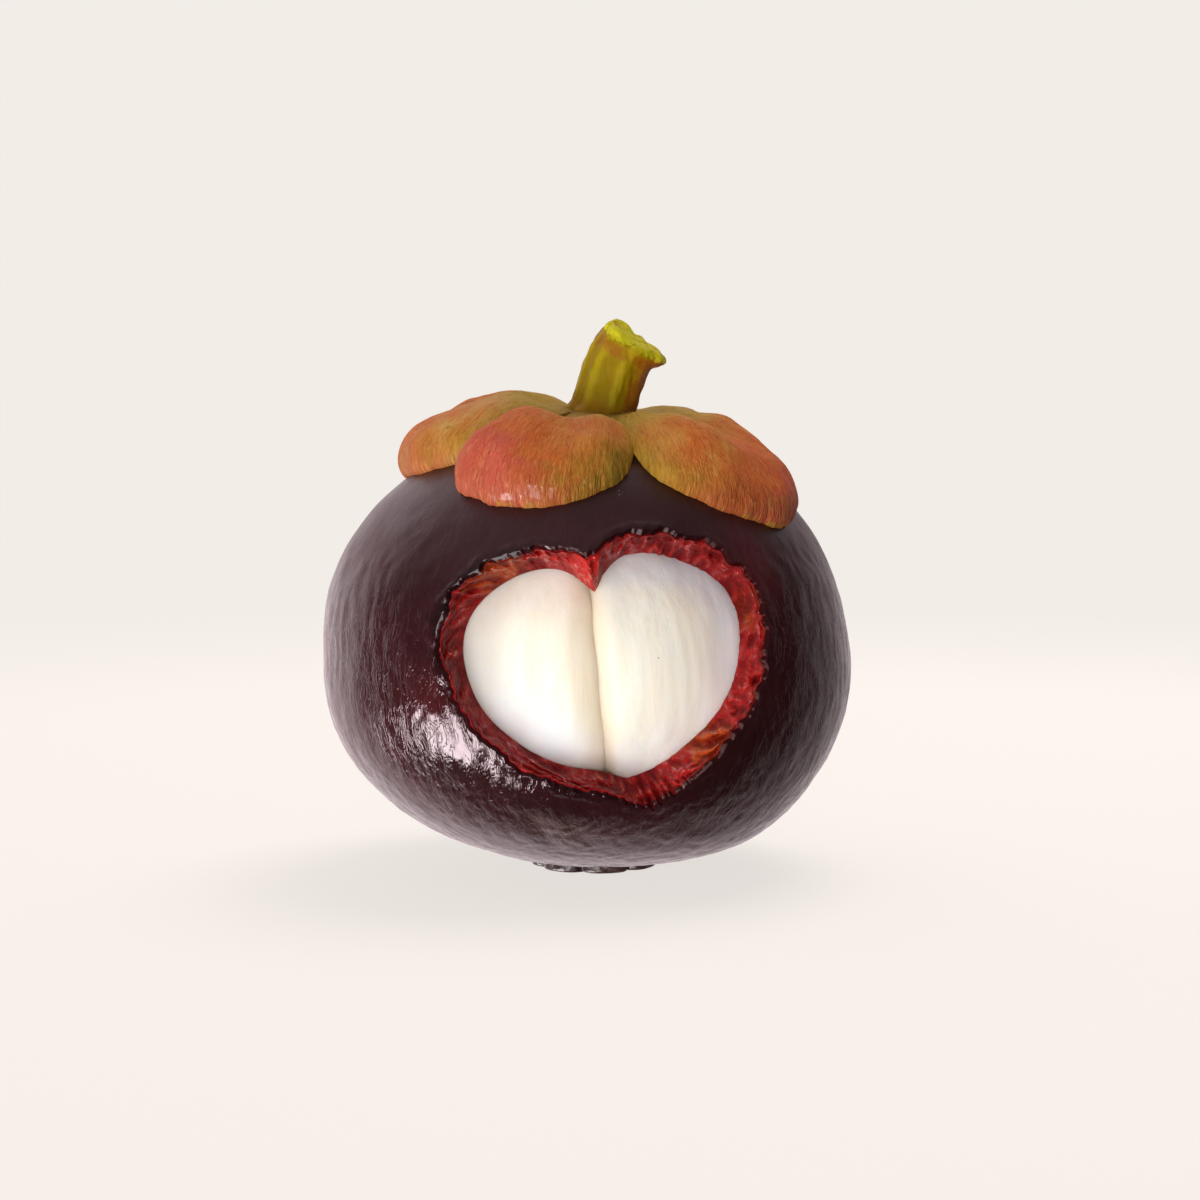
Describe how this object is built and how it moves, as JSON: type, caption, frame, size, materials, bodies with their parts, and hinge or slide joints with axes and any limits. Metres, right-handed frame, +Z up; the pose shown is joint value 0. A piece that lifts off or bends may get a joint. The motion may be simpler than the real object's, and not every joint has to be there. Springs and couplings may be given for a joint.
{
  "type": "mangosteen fruit with a window cut in its rind",
  "caption": "Whole mangosteen standing on its flat stigma, with puffed sepals, a bent stem and a heart-shaped window showing white flesh.",
  "frame": {"origin": "middle of the stigma's flat underside, on the surface that the fruit rests on", "axes": "+Z up along the fruit's axis to the stem; the window faces -Y; +X is to the right of the window"},
  "size_m": [0.0621, 0.0596, 0.0644],
  "materials": {
    "rind": "smooth dark purple skin, glossy in places, with red fibrous cut faces",
    "aril": "moist, translucent white flesh with fine fibres",
    "sepal": "matt, fibrous orange to red and yellow-green",
    "stem": "satin, ribbed green stalk with brown ridges",
    "stigma": "dark brown, smooth and woody"
  },
  "bodies": {
    "root": {"rind": "rind", "aril_1": "aril", "aril_2": "aril", "aril_3": "aril", "aril_4": "aril", "aril_5": "aril", "aril_6": "aril", "aril_7": "aril", "sepal_front": "sepal", "sepal_right": "sepal", "sepal_back": "sepal", "sepal_left": "sepal", "stem": "stem", "stigma": "stigma"}
  },
  "joints": []
}
